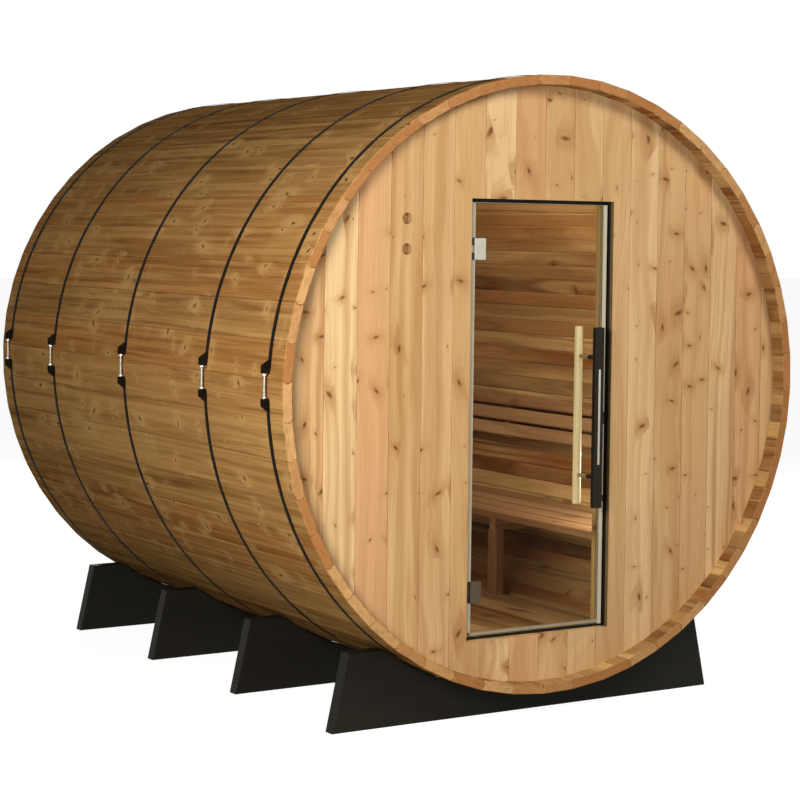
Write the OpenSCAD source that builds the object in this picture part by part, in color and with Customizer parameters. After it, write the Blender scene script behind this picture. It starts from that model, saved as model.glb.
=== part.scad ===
// Barrel sauna: a horizontal cedar barrel on four cradles, with a glass door in
// its front wall. The barrel's axis runs along Y and its front faces -Y.
// The origin is on the ground, under the middle of the barrel.

/* [Barrel] */
// Outside diameter of the barrel
barrel_d = 2134; // [1900:1:2600]
// Length of the staves from end to end
barrel_len = 2438; // [2200:1:3200]
// Thickness of a stave
stave_t = 35; // [28:1:45]
// Gap between one group of staves and the next
stave_gap = 0.1; // [0.05:0.05:0.5]
// Angle of the first joint between staves, from the right-hand side
stave_turn = 4.7; // [0:0.1:7]
// Depth of the groove in the staves that holds an end wall
groove_depth = 12; // [6:1:16]

/* [End walls] */
// Thickness of an end wall
wall_t = 35; // [28:1:45]
// Distance that the staves run on past an end wall
wall_recess = 61; // [40:1:100]
// Gap between an end wall and the bottom or cheeks of its groove
wall_fit = 0.3; // [0.1:0.1:1]

/* [Doorway] */
// Left edge of the doorway, from the middle of the barrel
door_left = -319; // [-340:1:-300]
// Width of the doorway
door_w = 597; // [560:1:640]
// Height of the doorway's sill above the ground
door_sill = 276; // [250:1:320]
// Height of the doorway
door_h = 1508; // [1440:1:1560]
// Overlap of the casing's head and sill boards over the doorway
casing_lap = 14; // [13:1:30]
// Overlap of the casing's latch board over the doorway
latch_lap = 36; // [20:1:44]
// Width of a casing board
casing_w = 70; // [60:1:90]
// Thickness of a casing board
casing_t = 20; // [15:1:25]

/* [Door] */
// Thickness of the glass
glass_t = 8; // [6:1:10]
// Depth of the glass behind the front of the wall
glass_set = 20; // [18:1:22]
// Gap above and below the glass
glass_gap_z = 13; // [8:1:16]
// Gap between the latch edge of the glass and the doorway
glass_gap_x = 17; // [8:1:20]
// Distance of the hinge pin from the doorway's left edge
pin_set = 16; // [15:1:20]
// Width of the seal strip on the latch edge
seal_w = 14; // [8:1:18]
// Height of the seal strip on the bottom edge
sweep_h = 9; // [6:1:14]

/* [Hinges] */
// Height of a hinge
hinge_h = 73; // [60:1:85]
// Width of a hinge clamp
clamp_w = 44; // [40:1:60]
// Thickness of one clamp plate
clamp_t = 5; // [3:0.5:5]
// Radius of a hinge pin
pin_r = 3; // [2:0.5:3]
// Thickness of a hinge leaf
leaf_t = 3; // [2:0.5:4]
// Height of the upper hinge's middle above the ground
hinge_high = 1613; // [1500:1:1650]
// Height of the lower hinge's middle above the ground
hinge_low = 441; // [400:1:560]

/* [Handles] */
// Distance of the handles from the doorway's latch edge
handle_in = 84; // [60:1:110]
// Height of the middle of the handles above the ground
handle_z = 1026; // [900:1:1200]
// Length of a handle
handle_len = 634; // [500:1:700]
// Diameter of the inner, wooden handle
handle_d = 30; // [24:1:34]
// Width of the outer handle
pull_w = 36; // [25:1:40]
// Depth of the outer handle
pull_t = 22; // [15:1:26]
// Distance of each handle's middle from the middle of the glass
handle_reach = 59; // [50:1:62]
// Distance between the two handle bolts
bolt_pitch = 422; // [300:1:480]
// Diameter of a handle standoff
standoff_d = 16; // [12:1:20]
// Diameter of a handle bolt
bolt_d = 8; // [6:1:10]

/* [Vents] */
// Left edge of the board with the vents, from the middle of the barrel
vent_board_x = -635.5; // [-650:0.5:-600]
// Width of that board
vent_board_w = 123.5; // [110:0.5:130]
// Diameter of a vent
vent_d = 38; // [30:1:50]
// Height of the upper vent above the ground
vent_high = 1712; // [1650:1:1750]
// Distance between the two vents
vent_pitch = 101.6; // [80:0.1:120]

/* [Bands] */
// Width of a band
band_w = 20; // [15:1:30]
// Thickness of a band
band_t = 1.5; // [1:0.1:3]
// Distance of the first and last band from the barrel's ends
band_end = 97; // [80:1:130]
// Distance of the second and fourth band from the middle band
band_mid = 668; // [500:1:700]
// Height of a tensioner's middle above the barrel's axis
tension_z = 22; // [0:1:60]
// Length of a tensioner
tension_len = 165; // [140:1:200]
// Length of a tensioner's bracket
bracket_len = 42; // [30:1:50]
// Height of a tensioner's bracket over the band
bracket_h = 19; // [14:1:24]
// Diameter of a tensioner's rod
rod_d = 8; // [6:1:9]
// Width of a tensioner's nut across its corners
nut_d = 14; // [10:1:16]
// Height of a tensioner's nut
nut_h = 7; // [5:1:10]

/* [Cradles] */
// Clearance under the barrel
ground_gap = 79; // [60:1:120]
// Height of a cradle at its ends
cradle_h = 265; // [230:1:300]
// Half width of a cradle at the ground
cradle_foot = 794; // [740:1:850]
// Half width of a cradle at its top
cradle_top = 737; // [700:1:780]
// Thickness of a cradle
cradle_t = 50; // [38:1:60]
// Distance between cradles
cradle_pitch = 705; // [600:1:720]

/* [Floor] */
// Height of the floor above the ground
floor_z = 241; // [230:1:260]
// Thickness of a floor board
floor_t = 20; // [15:1:25]
// Number of floor boards
floor_boards_n = 8; // [6:1:10]
// Gap between floor boards
floor_gap = 5; // [3:1:8]
// Thickness of a floor bearer
bearer_t = 40; // [30:1:50]
// Number of floor bearers
floor_bearers_n = 4; // [3:1:5]
// Distance of the first and last bearer from the end walls
bearer_end = 120; // [60:1:200]

/* [Bench] */
// Height of the seat above the ground
seat_z = 571; // [520:1:620]
// Distance of the seat's front edge from the middle of the barrel
seat_x = 405; // [380:1:460]
// Thickness of a seat slat
slat_t = 28; // [22:1:35]
// Number of seat slats
seat_slats_n = 4; // [3:1:5]
// Gap between seat slats
slat_gap = 14; // [8:1:18]
// Height of a seat bearer
seat_bearer_h = 45; // [35:1:60]
// Width of a bench leg along the bench
leg_w = 62; // [60:1:110]
// Thickness of a bench leg
leg_t = 38; // [30:1:45]
// Distance of the first leg from the barrel's front end
leg_first = 300; // [250:1:330]
// Distance between legs
leg_pitch = 700; // [600:1:720]
// Number of legs
legs_n = 3; // [2:1:3]
// Distance of the legs behind the seat's front edge
leg_in = 5; // [0:1:30]

/* [Backrest] */
// Angle of the backrest's middle below the barrel's axis
back_angle = 15.6; // [12:0.1:18]
// Width of a backrest slat
back_slat_w = 56; // [45:1:60]
// Thickness of a backrest slat
back_slat_t = 20; // [15:1:25]
// Gap between backrest slats
back_gap = 10; // [6:1:14]
// Thickness of a backrest batten at its middle
batten_t = 38; // [35:1:50]
// Width of a backrest batten
batten_w = 40; // [30:1:50]

/* [Hidden] */
$fn = 96;
eps = 0.01;
over = 1;                              // how far a cut runs on past a surface
curve_fit = 0.3;                       // gap where a piece meets the curved staves
band_fit = 0.1;                        // gap under a band, and between it and a bracket
board_fit = 1;                         // gap at the ends of the floor and slats
turn_fit = 0.3;                        // gap round a hinge pin and between knuckles
barrel_r = barrel_d / 2;
inner_r = barrel_r - stave_t;
lining_r = inner_r - curve_fit;        // where pieces cut to the curve inside end
axis_z = ground_gap + barrel_r;        // height of the barrel's axis
front_y = -barrel_len / 2;             // front end of the staves
groups_n = 13;
group_angle = 360 / groups_n;
joint_angle = stave_gap / inner_r * 180 / PI;
wall_r = inner_r + groove_depth - wall_fit;
wall_front = front_y + wall_recess;    // front face of the front wall
wall_back = wall_front + wall_t;       // its face inside the cabin
rear_front = -wall_back;               // inner face of the rear wall
cabin_len = rear_front - wall_back;
door_right = door_left + door_w;
door_top = door_sill + door_h;
glass_y = wall_front + glass_set;      // front face of the glass
glass_mid = glass_y + glass_t / 2;
pin_x = door_left + pin_set;
glass_left = pin_x - pin_r;
glass_right = door_right - glass_gap_x;
glass_low = door_sill + glass_gap_z;
glass_high = door_top - glass_gap_z;
knuckle_wall = 2.5;
knuckle_r = pin_r + knuckle_wall;
knuckle_h = hinge_h / 3;
arm_t = 6;                             // thickness of the arms that hold the knuckles
clamp_x = pin_x + knuckle_r + knuckle_wall;        // left edge of a clamp
clamp_web = 4;                         // part of a clamp in front of the glass's edge
hinge_zs = [hinge_low, hinge_high];
handle_x = door_right - handle_in;
pull_y = glass_mid - handle_reach;
grip_y = glass_mid + handle_reach;
bolt_zs = [handle_z - bolt_pitch / 2, handle_z + bolt_pitch / 2];
bolt_fit = 0.3;                        // gap round a bolt in its hole
band_ys = [front_y + band_end, -band_mid, 0, band_mid, -front_y - band_end];
floor_half = half_width(floor_z - floor_t) - 2;
floor_board_w = (2 * floor_half - (floor_boards_n - 1) * floor_gap) / floor_boards_n;
bearer_pitch = (cabin_len - 2 * bearer_end) / (floor_bearers_n - 1);
boards_start = wall_back + casing_t + board_fit;   // front end of the floor boards
seat_back = half_width(seat_z - slat_t) - curve_fit;
seat_slat_w = (seat_back - seat_x - (seat_slats_n - 1) * slat_gap) / seat_slats_n;
leg_ys = [for (i = [0 : legs_n - 1]) front_y + leg_first + i * leg_pitch];
back_slats_n = 3;
back_pitch = back_slat_w + back_gap;
back_h = back_slats_n * back_pitch - back_gap;
back_face = inner_r - batten_t;        // distance of the battens' face from the axis
cedar = "#b8824a";
cedar_light = "#dcb27c";
cedar_inside = "#8a5a30";
black_wood = "#1c1a12";
steel = "#c9c9c4";

// Half the barrel's inner width at a height above the ground.
function half_width(z) = sqrt(pow(inner_r, 2) - pow(axis_z - z, 2));

// A solid of revolution about the barrel's axis: its child is a profile drawn
// with the radius along X and the distance from the barrel's front end along Y.
module about_axis(start, angle) {
    translate([0, front_y, axis_z])
        rotate([-90, 0, 0])
            rotate([0, 0, -start - angle])
                rotate_extrude(angle = angle, $fn = 180) children();
}

// A solid with its outline drawn in X and height, reaching from y0 back to y1.
module upright(y0, y1) {
    translate([0, y1, 0]) rotate([90, 0, 0]) linear_extrude(y1 - y0) children();
}

module block(x0, x1, y0, y1, z0, z1) {
    translate([x0, y0, z0]) cube([x1 - x0, y1 - y0, z1 - z0]);
}

// Four staves side by side, with a groove near each end for the end walls.
module stave_group(i) {
    groove_a = wall_recess - wall_fit;
    groove_b = wall_recess + wall_t + wall_fit;
    color(cedar)
        about_axis(stave_turn + i * group_angle + joint_angle / 2,
                   group_angle - joint_angle)
            difference() {
                translate([inner_r, 0]) square([stave_t, barrel_len]);
                for (y = [groove_a, barrel_len - groove_b])
                    translate([inner_r - over, y])
                        square([groove_depth + over, groove_b - groove_a]);
            }
}

// The part of the round front wall that lies in a box of X and height.
module front_wall_part(x0, x1, z0, z1) {
    upright(wall_front, wall_back)
        intersection() {
            translate([0, axis_z]) circle(r = wall_r, $fn = 180);
            translate([x0, z0]) square([x1 - x0, z1 - z0]);
        }
}

module front_wall_left() {
    color(cedar_light) {
        front_wall_part(-barrel_r, vent_board_x, 0, 2 * axis_z);
        front_wall_part(vent_board_x + vent_board_w, door_left, 0, 2 * axis_z);
    }
}

module vent_board() {
    color(cedar_light)
        difference() {
            front_wall_part(vent_board_x, vent_board_x + vent_board_w, 0, 2 * axis_z);
            for (z = [vent_high, vent_high - vent_pitch])
                translate([vent_board_x + vent_board_w / 2, wall_back + over, z])
                    rotate([90, 0, 0]) cylinder(d = vent_d, h = wall_t + 2 * over);
        }
}

module front_wall_right() {
    color(cedar_light) front_wall_part(door_right, barrel_r, 0, 2 * axis_z);
}

module front_wall_over_door() {
    color(cedar_light) front_wall_part(door_left, door_right, door_top, 2 * axis_z);
}

module front_wall_sill() {
    color(cedar_light) front_wall_part(door_left, door_right, 0, door_sill);
}

module rear_wall() {
    color(cedar_light)
        upright(rear_front, rear_front + wall_t)
            translate([0, axis_z]) circle(r = wall_r, $fn = 180);
}

// Four boards round the doorway on the inner face of the front wall: two long
// ones up the sides, and one between them at the head and at the sill.
module door_casing() {
    low = door_sill + casing_lap - casing_w;
    high = door_top - casing_lap + casing_w;
    latch = door_right - latch_lap;   // left edge of the board on the latch side
    color(cedar_inside) {
        casing_board(door_left - casing_w, door_left, low, high);
        casing_board(latch, latch + casing_w, low, high);
        for (z = [low, high - casing_w])
            casing_board(door_left + curve_fit, latch - curve_fit, z, z + casing_w);
    }
}

module casing_board(x0, x1, z0, z1) {
    block(x0, x1, wall_back, wall_back + casing_t, z0, z1);
}

// The fixed half of one hinge: a leaf on the doorway's edge, a knuckle above and
// below the clamp's own, and the pin through all three.
module hinge_leaf(z) {
    low = z - hinge_h / 2;
    leaf_reach = glass_mid - glass_y + 10;         // part of a leaf before the pin
    block(door_left, door_left + leaf_t, glass_mid - leaf_reach, wall_back - over,
          low, low + hinge_h);
    for (knuckle_z = [low, low + 2 * knuckle_h]) {
        knuckle(knuckle_z, knuckle_h);
        block(door_left + leaf_t, pin_x, glass_mid - arm_t / 2, glass_mid + arm_t / 2,
              knuckle_z, knuckle_z + knuckle_h);
    }
    translate([pin_x, glass_mid, low + eps])
        cylinder(r = pin_r, h = hinge_h - 2 * eps, $fn = 48);
}

// A knuckle without its hole.
module knuckle(z, h) {
    translate([pin_x, glass_mid, z]) cylinder(r = knuckle_r, h = h, $fn = 48);
}

module hinge_leaves() {
    color(steel) for (z = hinge_zs) hinge_leaf(z);
}

// The moving half of one hinge: a knuckle on the pin, and two plates that
// clamp the glass.
module door_clamp(z) {
    low = z - hinge_h / 2;
    arm_low = low + knuckle_h + turn_fit;
    arm_h = knuckle_h - 2 * turn_fit;
    difference() {
        union() {
            knuckle(arm_low, arm_h);
            block(pin_x, clamp_x + eps, glass_mid - arm_t / 2, glass_mid + arm_t / 2,
                  arm_low, arm_low + arm_h);
        }
        translate([pin_x, glass_mid, low])
            cylinder(r = pin_r + turn_fit, h = hinge_h, $fn = 48);
    }
    difference() {
        block(clamp_x, clamp_x + clamp_w, glass_y - clamp_t, glass_y + glass_t + clamp_t,
              low, low + hinge_h);
        block(clamp_x + clamp_web, clamp_x + clamp_w + over, glass_y, glass_y + glass_t,
              low - over, low + hinge_h + over);
    }
}

module door_clamps() {
    color(steel) for (z = hinge_zs) door_clamp(z);
}

// The glass is notched round each hinge and drilled for the handle bolts.
module door_glass() {
    notch_h = hinge_h + 2;
    color("#9aa6a0", 0.4)
        difference() {
            block(glass_left, glass_right, glass_y, glass_y + glass_t, glass_low, glass_high);
            for (z = hinge_zs)
                block(glass_left - over, clamp_x + clamp_web, glass_y - over,
                      glass_y + glass_t + over, z - notch_h / 2, z + notch_h / 2);
            for (z = bolt_zs)
                translate([handle_x, glass_y + glass_t + over, z])
                    rotate([90, 0, 0])
                        cylinder(d = bolt_d + 2 * bolt_fit, h = glass_t + 2 * over);
        }
}

// A clear strip that grips the latch edge of the glass, and a sweep below it.
module door_seal() {
    lip = 1.5;
    color("#d8d2c2")
        difference() {
            union() {
                block(glass_right - seal_w, glass_right + lip, glass_y - lip,
                      glass_y + glass_t + lip, glass_low - lip, glass_high);
                block(clamp_x, glass_right, glass_y - lip, glass_y + glass_t + lip,
                      glass_low - lip, glass_low + sweep_h);
            }
            block(glass_left, glass_right, glass_y, glass_y + glass_t,
                  glass_low, glass_high + over);
        }
}

// A round bar or bolt along Y at the handles, from y0 back to y1.
module handle_rod(d, y0, y1, z) {
    translate([handle_x, y1, z]) rotate([90, 0, 0]) cylinder(d = d, h = y1 - y0, $fn = 48);
}

// The inner handle: a round wooden bar on two standoffs from the glass.
module handle_inside() {
    color(cedar_light)
        translate([handle_x, grip_y, handle_z - handle_len / 2])
            cylinder(d = handle_d, h = handle_len, $fn = 64);
    color(steel)
        for (z = bolt_zs) handle_rod(standoff_d, glass_y + glass_t, grip_y, z);
}

// The outer handle: a flat dark bar on two standoffs, with the bolts that go
// through the glass.
module handle_outside() {
    color(black_wood)
        block(handle_x - pull_w / 2, handle_x + pull_w / 2, pull_y - pull_t / 2,
              pull_y + pull_t / 2, handle_z - handle_len / 2, handle_z + handle_len / 2);
    color(steel)
        for (z = bolt_zs) {
            handle_rod(standoff_d, pull_y, glass_y, z);
            handle_rod(bolt_d, glass_y - over, glass_y + glass_t, z);
        }
}

// A band: two half hoops that end inside the tensioners on each side.
module band(y) {
    reach = asin((tension_len - 2 * bracket_len) / 2 / barrel_r);
    lift = asin(tension_z / barrel_r);
    color("#2a2218")
        for (top = [0, 1])
            about_axis(top ? lift + reach : 180 - lift + reach, 180 - 2 * reach
                       + (top ? -2 * lift : 2 * lift))
                translate([barrel_r + band_fit, y - front_y - band_w / 2])
                    square([band_t, band_w]);
}

// One tensioner on the right-hand side of the barrel: a bracket over each end of
// the band, a threaded rod between them and a nut at each bracket.
module tensioner_side(y) {
    bed_r = barrel_r + band_t + 2 * band_fit;      // curve that the brackets lie on
    low = axis_z + tension_z - tension_len / 2;
    high = low + tension_len;
    rod_len = tension_len - 2 * bracket_len;
    rod_x = bed_r + bracket_h - rod_d / 2 - 1;
    difference() {
        for (z = [low, high - bracket_len])
            block(barrel_r - bracket_h, bed_r + bracket_h, y - band_w / 2, y + band_w / 2,
                  z, z + bracket_len);
        translate([0, y - barrel_len, axis_z]) rotate([-90, 0, 0])
            cylinder(r = bed_r, h = 2 * barrel_len, $fn = 180);
    }
    translate([rod_x, y, low + bracket_len]) cylinder(d = rod_d, h = rod_len, $fn = 32);
    for (z = [low + bracket_len, high - bracket_len - nut_h])
        translate([rod_x, y, z]) cylinder(d = nut_d, h = nut_h, $fn = 6);
}

module tensioner(y) {
    color("#1a1815") {
        tensioner_side(y);
        mirror([1, 0, 0]) tensioner_side(y);
    }
}

// A cradle: a plank with slanted ends, hollowed to the barrel's curve.
module cradle(y) {
    color(black_wood)
        upright(y - cradle_t / 2, y + cradle_t / 2)
            difference() {
                polygon([[-cradle_foot, 0], [cradle_foot, 0],
                         [cradle_top, cradle_h], [-cradle_top, cradle_h]]);
                translate([0, axis_z]) circle(r = barrel_r + curve_fit, $fn = 180);
            }
}

// Bearers across the barrel's bottom, with their undersides cut to its curve.
module floor_bearers() {
    first = wall_back + bearer_end - bearer_t / 2;
    color(cedar_inside)
        for (i = [0 : floor_bearers_n - 1])
            upright(first + i * bearer_pitch, first + i * bearer_pitch + bearer_t)
                intersection() {
                    translate([0, axis_z]) circle(r = lining_r, $fn = 180);
                    translate([-floor_half, 0]) square([2 * floor_half, floor_z - floor_t]);
                }
}

module floor_boards() {
    color(cedar_inside)
        for (i = [0 : floor_boards_n - 1]) {
            x = -floor_half + i * (floor_board_w + floor_gap);
            block(x, x + floor_board_w, boards_start, rear_front - board_fit,
                  floor_z - floor_t, floor_z);
        }
}

module bench_slats() {
    color(cedar_inside)
        for (i = [0 : seat_slats_n - 1]) {
            x = seat_x + i * (seat_slat_w + slat_gap);
            block(x, x + seat_slat_w, boards_start, rear_front, seat_z - slat_t, seat_z);
        }
}

// Under the seat: bearers from its front slat back to the staves, each on a leg.
module bench_frame() {
    top = seat_z - slat_t;
    front = seat_x + leg_in;
    color(cedar_inside)
        for (y = leg_ys) {
            upright(y - bearer_t / 2, y + bearer_t / 2)
                intersection() {
                    translate([0, axis_z]) circle(r = lining_r, $fn = 180);
                    translate([front, top - seat_bearer_h]) square([inner_r, seat_bearer_h]);
                }
            block(front, front + leg_t, y - leg_w / 2, y + leg_w / 2,
                  floor_z, top - seat_bearer_h);
        }
}

// Slats along the right-hand wall, on battens with their backs cut to its curve.
// The whole is turned about the barrel's axis to sit a little below its middle.
module backrest() {
    color(cedar_inside)
        translate([0, 0, axis_z]) rotate([0, back_angle, 0]) {
            for (y = leg_ys)
                upright(y - batten_w / 2, y + batten_w / 2)
                    intersection() {
                        circle(r = lining_r, $fn = 180);
                        translate([back_face, -back_h / 2]) square([batten_t, back_h]);
                    }
            for (i = [0 : back_slats_n - 1])
                block(back_face - back_slat_t, back_face, boards_start, rear_front,
                      i * back_pitch - back_h / 2, i * back_pitch - back_h / 2 + back_slat_w);
        }
}

for (i = [0 : groups_n - 1])
    stave_group(i);
front_wall_left();
vent_board();
front_wall_right();
front_wall_over_door();
front_wall_sill();
rear_wall();
door_casing();
hinge_leaves();
door_glass();
door_clamps();
door_seal();
handle_inside();
handle_outside();
for (i = [0 : 4]) {
    band(band_ys[i]);
    tensioner(band_ys[i]);
}
for (i = [0 : 3])
    cradle((i - 1.5) * cradle_pitch);
floor_bearers();
floor_boards();
bench_slats();
bench_frame();
backrest();
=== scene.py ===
import math

import bmesh
import bpy
import numpy as np
from mathutils import Matrix, Vector


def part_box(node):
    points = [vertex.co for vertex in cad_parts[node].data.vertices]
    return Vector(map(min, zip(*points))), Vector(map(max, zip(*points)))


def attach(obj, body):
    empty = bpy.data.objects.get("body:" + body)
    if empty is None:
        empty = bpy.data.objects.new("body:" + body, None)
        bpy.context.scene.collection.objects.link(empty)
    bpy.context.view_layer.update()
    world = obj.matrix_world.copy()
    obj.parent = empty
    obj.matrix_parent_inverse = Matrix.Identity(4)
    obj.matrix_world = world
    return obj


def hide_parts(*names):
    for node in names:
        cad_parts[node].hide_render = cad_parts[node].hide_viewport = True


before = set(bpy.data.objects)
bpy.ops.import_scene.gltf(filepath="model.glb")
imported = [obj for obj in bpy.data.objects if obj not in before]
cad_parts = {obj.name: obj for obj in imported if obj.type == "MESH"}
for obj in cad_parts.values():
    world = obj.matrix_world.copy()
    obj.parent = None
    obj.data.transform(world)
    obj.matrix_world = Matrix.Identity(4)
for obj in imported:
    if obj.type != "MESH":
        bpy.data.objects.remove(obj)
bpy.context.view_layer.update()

# Cradles: four planks of black-stained softwood stand across the barrel and carry it.
# Each is sawn to the barrel's curve, has slanted ends, and lies loose on the ground.


def srgb(red, green, blue):
    """A colour given as display values up to 255, as the linear numbers that shaders take."""
    c = np.array([red, green, blue]) / 255
    return (*np.where(c <= 0.04045, c / 12.92, ((c + 0.055) / 1.055) ** 2.4), 1.0)


class Nodes:
    """A tree of nodes. Each method adds a node and returns its output socket."""

    def __init__(self, tree):
        self.tree = tree

    def plug(self, socket, value):
        """Links a socket to another, or gives it a plain value."""
        if isinstance(value, bpy.types.NodeSocket):
            self.tree.links.new(value, socket)
        else:
            socket.default_value = value

    def node(self, kind, inputs, output=0, **settings):
        """Any node: its settings by name, and its inputs by name or number."""
        made = self.tree.nodes.new("ShaderNode" + kind)
        for key, value in settings.items():
            setattr(made, key, value)
        for key, value in inputs.items():
            self.plug(made.inputs[key], value)
        return made.outputs[output]

    def rays(self):
        """What kind of ray reaches the surface, as sockets by name."""
        return self.tree.nodes.new("ShaderNodeLightPath").outputs

    def math(self, operation, a, b=0.0, c=0.0):
        return self.node("Math", {0: a, 1: b, 2: c}, operation=operation)

    def vector(self, operation, a, b=(0, 0, 0)):
        output = "Value" if operation in ("LENGTH", "DOT_PRODUCT") else "Vector"
        return self.node("VectorMath", {0: a, 1: b}, output, operation=operation)

    def parts(self, vector):
        """A vector's three parts."""
        return (self.node("SeparateXYZ", {0: vector}, i) for i in range(3))

    def noise(self, place, detail=2.0, colour=False, roughness=0.5):
        """Noise of about one bump a unit, at a place that is already scaled."""
        sockets = {"Vector": place, "Scale": 1.0, "Detail": detail, "Roughness": roughness}
        return self.node("TexNoise", sockets, "Color" if colour else "Fac")

    def own_noise(self, bumps, detail, roughness=0.5):
        """Noise in the object's own coordinates, with so many bumps a metre along x, y, z."""
        place = self.vector("MULTIPLY", self.node("TexCoord", {}, "Object"), bumps)
        return self.noise(place, detail, roughness=roughness)

    def blend(self, share, a, b):
        """Colour a turned into colour b by a share."""
        return self.node("Mix", {0: share, 6: a, 7: b}, 2, data_type="RGBA")

    def step(self, value, low, high, to_low=0.0, to_high=1.0):
        """A smooth step of a value, from to_low at low to to_high at high."""
        sockets = {0: value, 1: low, 2: high, 3: to_low, 4: to_high}
        return self.node("MapRange", sockets, interpolation_type="SMOOTHSTEP")

    def bump(self, height, depth, strength=1.0):
        """Dents whose full depth is in metres, for a height of 0 to 1."""
        sockets = {"Height": height, "Distance": depth, "Strength": strength}
        return self.node("Bump", sockets)


class Shader(Nodes):
    """A new material, with the nodes that make its surface."""

    def __init__(self, name):
        self.material = bpy.data.materials.new(name)
        self.material.use_nodes = True
        super().__init__(self.material.node_tree)
        self.surface = self.tree.nodes["Principled BSDF"]

    def finish(self, **settings):
        """Sets or links sockets of the surface shader, named with _ for a space."""
        for key, value in settings.items():
            self.plug(self.surface.inputs[key.replace("_", " ")], value)

    def show(self, shader):
        """Puts another shader in the surface shader's place."""
        self.plug(self.tree.nodes["Material Output"].inputs["Surface"], shader)


def drawn_in(outline, by):
    """A closed outline with each side moved in by a distance, square to itself: each corner
    moves along the sum of its two sides' normals, over one plus their dot product."""
    outline = np.asarray(outline, float)
    side = np.roll(outline, -1, 0) - outline
    normal = np.stack([-side[:, 1], side[:, 0]], 1) / np.linalg.norm(side, axis=1)[:, None]
    x, y = outline.T
    if np.sum(x * np.roll(y, -1) - y * np.roll(x, -1)) < 0:
        normal = -normal
    before = np.roll(normal, 1, 0)
    return outline + by * (before + normal) / (1 + np.sum(before * normal, 1))[:, None]


def rounded(corners, radius, steps=4):
    """An outline whose corners are each replaced by a curve of about a radius: the points
    (1-t)^2 a + 2 t (1-t) corner + t^2 b, between a and b on the two sides."""
    corners = np.asarray(corners, float)
    before, after = np.roll(corners, 1, 0) - corners, np.roll(corners, -1, 0) - corners
    unit = [v / np.linalg.norm(v, axis=1)[:, None] for v in (before, after)]
    half = np.arccos(np.clip(np.sum(unit[0] * unit[1], 1), -1, 1)) / 2
    reach = (radius / np.tan(half))[:, None]
    a, b = corners + unit[0] * reach, corners + unit[1] * reach
    t = np.linspace(0, 1, steps + 1)[None, :, None]
    curve = (1 - t) ** 2 * a[:, None] + 2 * t * (1 - t) * corners[:, None] + t**2 * b[:, None]
    return curve.reshape(-1, 2)


def prism(outline, stations, axes="xzy"):
    """An outline carried along a line: one loop of points for each station, a place on the
    line and how far the outline is drawn in there. axes says where the outline's two
    coordinates and the line point."""
    loops = np.zeros((len(stations), len(outline), 3))
    for loop, (place, inset) in zip(loops, stations):
        loop[:, ["xyz".index(a) for a in axes[:2]]] = drawn_in(outline, inset)
        loop[:, "xyz".index(axes[2])] = place
    return loops


def eased(start, end, ease):
    """The stations of a prism from start to end with its end edges cut off at 45 degrees."""
    return [(start, ease), (start + ease, 0), (end - ease, 0), (end, ease)]


class Stock:
    """Shapes that are gathered to become one mesh: each is a run of loops of points, joined
    by quads from loop to loop, and closed by a face at each end or back onto itself."""

    def __init__(self):
        self.points, self.faces, self.slots, self.notes = [], [], [], {}
        self.count = 0

    def add(self, loops, slot=0, end_slot=None, ring=False, **notes):
        """slot is a number, or one for each side of the loop. notes are values to keep at
        every point, such as its place along the grain."""
        runs, sides = loops.shape[:2]
        index = np.arange(runs * sides).reshape(runs, sides) + self.count
        here = index if ring else index[:-1]
        there = np.roll(index, -1, 0) if ring else index[1:]
        quads = np.stack([here, np.roll(here, -1, 1), np.roll(there, -1, 1), there], -1)
        self.faces += quads.reshape(-1, 4).tolist()
        self.slots += np.broadcast_to(slot, here.shape).ravel().tolist()
        if not ring:
            self.faces += [index[0, ::-1].tolist(), index[-1].tolist()]
            self.slots += [slot if end_slot is None else end_slot] * 2
        self.points.append(loops.reshape(-1, 3))
        for key, value in notes.items():
            spread = np.broadcast_to(value, loops.shape).reshape(-1, 3)
            self.notes.setdefault(key, []).append(spread)
        self.count += runs * sides

    def make(self, name, body, *shaders, smooth=35, replaces=(), slot=None):
        """The mesh as a piece that rides on a body. Edges sharper than an angle stay sharp."""
        mesh = bpy.data.meshes.new(name)
        mesh.from_pydata(np.concatenate(self.points), [], self.faces)
        mesh.polygons.foreach_set("material_index", self.slots)
        for key, values in self.notes.items():
            note = mesh.attributes.new(key, "FLOAT_VECTOR", "POINT")
            note.data.foreach_set("vector", np.concatenate(values).ravel())
        for shader in shaders:
            mesh.materials.append(shader.material)
        shell = bmesh.new()
        shell.from_mesh(mesh)
        bmesh.ops.recalc_face_normals(shell, faces=shell.faces)
        shell.to_mesh(mesh)
        shell.free()
        mesh.shade_smooth()
        mesh.set_sharp_from_angle(angle=math.radians(smooth))
        made = bpy.data.objects.new(name, mesh)
        bpy.context.scene.collection.objects.link(made)
        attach(made, body)
        if replaces:
            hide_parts(*replaces)
        return made


def span(node):
    """A CAD node's lowest and highest corners, as two arrays in metres."""
    return [np.array(corner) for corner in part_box(node)]


def black_stain():
    """Black stain on sawn softwood: the grain shows as faint paler ridges, worn at places."""
    s = Shader("black_stained_plank")
    fibre = s.own_noise((7, 420, 420), 4, 0.65)
    cloud = s.own_noise((2.2, 9, 9), 3)
    stain = s.blend(s.step(cloud, 0.35, 0.7), srgb(22, 19, 12), srgb(28, 25, 17))
    ridge = s.math("MULTIPLY", s.step(fibre, 0.5, 0.85), 0.4)
    s.finish(Base_Color=s.blend(ridge, stain, srgb(44, 42, 31)))
    s.finish(Roughness=s.step(fibre, 0.2, 0.8, 0.5, 0.72), Specular_IOR_Level=0.12)
    s.finish(Normal=s.bump(fibre, 0.0006, 0.6))
    return s


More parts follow.
